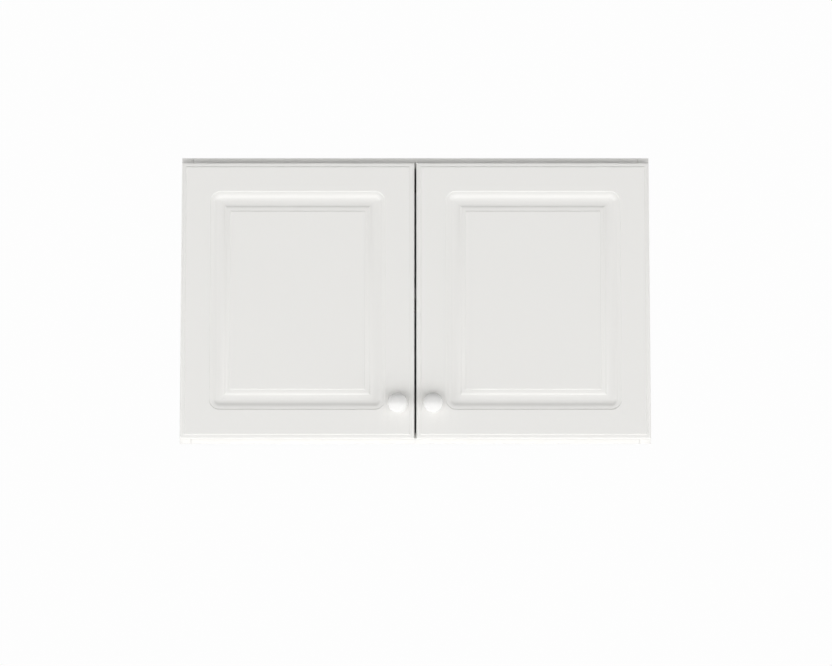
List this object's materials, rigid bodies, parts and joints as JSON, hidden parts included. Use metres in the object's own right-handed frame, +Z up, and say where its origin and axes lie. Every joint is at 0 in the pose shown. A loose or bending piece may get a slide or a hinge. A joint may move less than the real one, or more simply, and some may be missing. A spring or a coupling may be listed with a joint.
{
  "type": "hanging wall cabinet",
  "caption": "Wide hanging wall cabinet with a pair of raised-panel doors on concealed hinges, round knobs, one loose shelf and rear hanging rails.",
  "frame": {"origin": "middle of the hanging rail's rear face, on the wall plane", "axes": "+X along the cabinet's width to the viewer's right, +Y into the wall, +Z up; the doors face -Y"},
  "size_m": [0.762, 0.331, 0.466],
  "materials": {
    "melamine_board": "white melamine-faced particle board with matching edge band, satin",
    "door_foil": "routed fibreboard wrapped in white foil, satin",
    "hardboard": "thin hardboard, white painted face",
    "beech_dowel": "raw beech",
    "nickel_steel": "nickel-plated pressed steel",
    "zinc_screw": "zinc-plated steel",
    "zinc_pin": "turned zinc-plated steel",
    "clear_bumper": "soft clear polyurethane"
  },
  "bodies": {
    "cabinet": {"back_panel": "hardboard", "bottom_panel": "melamine_board", "dowel_left_bottom_front": "beech_dowel", "dowel_left_bottom_rear": "beech_dowel", "dowel_left_top_front": "beech_dowel", "dowel_left_top_rear": "beech_dowel", "dowel_right_bottom_front": "beech_dowel", "dowel_right_bottom_rear": "beech_dowel", "dowel_right_top_front": "beech_dowel", "dowel_right_top_rear": "beech_dowel", "hanging_rail": "melamine_board", "hinge_arm_left_bottom": "nickel_steel", "hinge_arm_left_top": "nickel_steel", "hinge_arm_right_bottom": "nickel_steel", "hinge_arm_right_top": "nickel_steel", "hinge_plate_left_bottom": "nickel_steel", "hinge_plate_left_top": "nickel_steel", "hinge_plate_right_bottom": "nickel_steel", "hinge_plate_right_top": "nickel_steel", "lower_rail": "melamine_board", "plate_screw_left_bottom_lower": "zinc_screw", "plate_screw_left_bottom_upper": "zinc_screw", "plate_screw_left_top_lower": "zinc_screw", "plate_screw_left_top_upper": "zinc_screw", "plate_screw_right_bottom_lower": "zinc_screw", "plate_screw_right_bottom_upper": "zinc_screw", "plate_screw_right_top_lower": "zinc_screw", "plate_screw_right_top_upper": "zinc_screw", "shelf": "melamine_board", "shelf_pin_left_front": "zinc_pin", "shelf_pin_left_rear": "zinc_pin", "shelf_pin_right_front": "zinc_pin", "shelf_pin_right_rear": "zinc_pin", "side_left": "melamine_board", "side_right": "melamine_board", "top_panel": "melamine_board"},
    "left_door": {"bumper_left_bottom": "clear_bumper", "bumper_left_top": "clear_bumper", "door_left": "door_foil", "hinge_cup_left_bottom": "nickel_steel", "hinge_cup_left_top": "nickel_steel", "knob_left": "door_foil", "knob_screw_left": "zinc_screw"},
    "left_outer_links": {"hinge_outer_link_left_bottom": "nickel_steel", "hinge_outer_link_left_top": "nickel_steel"},
    "left_inner_links": {"hinge_inner_link_left_bottom": "nickel_steel", "hinge_inner_link_left_top": "nickel_steel"},
    "right_door": {"bumper_right_bottom": "clear_bumper", "bumper_right_top": "clear_bumper", "door_right": "door_foil", "hinge_cup_right_bottom": "nickel_steel", "hinge_cup_right_top": "nickel_steel", "knob_right": "door_foil", "knob_screw_right": "zinc_screw"},
    "right_outer_links": {"hinge_outer_link_right_bottom": "nickel_steel", "hinge_outer_link_right_top": "nickel_steel"},
    "right_inner_links": {"hinge_inner_link_right_bottom": "nickel_steel", "hinge_inner_link_right_top": "nickel_steel"}
  },
  "joints": [
    {"name": "left_outer_link_pivot", "type": "hinge", "parent": "cabinet", "child": "left_outer_links", "pos_m": [-0.345, -0.2765, -0.1747], "axis": [0, 0, -1], "range_deg": [-27.2, 0]},
    {"name": "left_door_swing", "type": "hinge", "parent": "left_outer_links", "child": "left_door", "pos_m": [-0.3685, -0.2887, -0.1747], "axis": [0, 0, -1], "range_deg": [0, 122]},
    {"name": "left_inner_link_pivot", "type": "hinge", "parent": "cabinet", "child": "left_inner_links", "pos_m": [-0.3446, -0.2832, -0.1747], "axis": [0, 0, -1], "range_deg": [-12.7, 0]},
    {"name": "right_outer_link_pivot", "type": "hinge", "parent": "cabinet", "child": "right_outer_links", "pos_m": [0.345, -0.2765, -0.1747], "axis": [0, 0, 1], "range_deg": [-27.2, 0]},
    {"name": "right_door_swing", "type": "hinge", "parent": "right_outer_links", "child": "right_door", "pos_m": [0.3685, -0.2887, -0.1747], "axis": [0, 0, 1], "range_deg": [0, 122]},
    {"name": "right_inner_link_pivot", "type": "hinge", "parent": "cabinet", "child": "right_inner_links", "pos_m": [0.3446, -0.2832, -0.1747], "axis": [0, 0, 1], "range_deg": [-12.7, 0]}
  ],
  "couplings": [
    {"joint": "left_outer_link_pivot", "follows": "left_door_swing", "ratio": -0.22131},
    {"joint": "left_inner_link_pivot", "follows": "left_door_swing", "ratio": -0.10246},
    {"joint": "right_outer_link_pivot", "follows": "right_door_swing", "ratio": -0.22131},
    {"joint": "right_inner_link_pivot", "follows": "right_door_swing", "ratio": -0.10246}
  ]
}
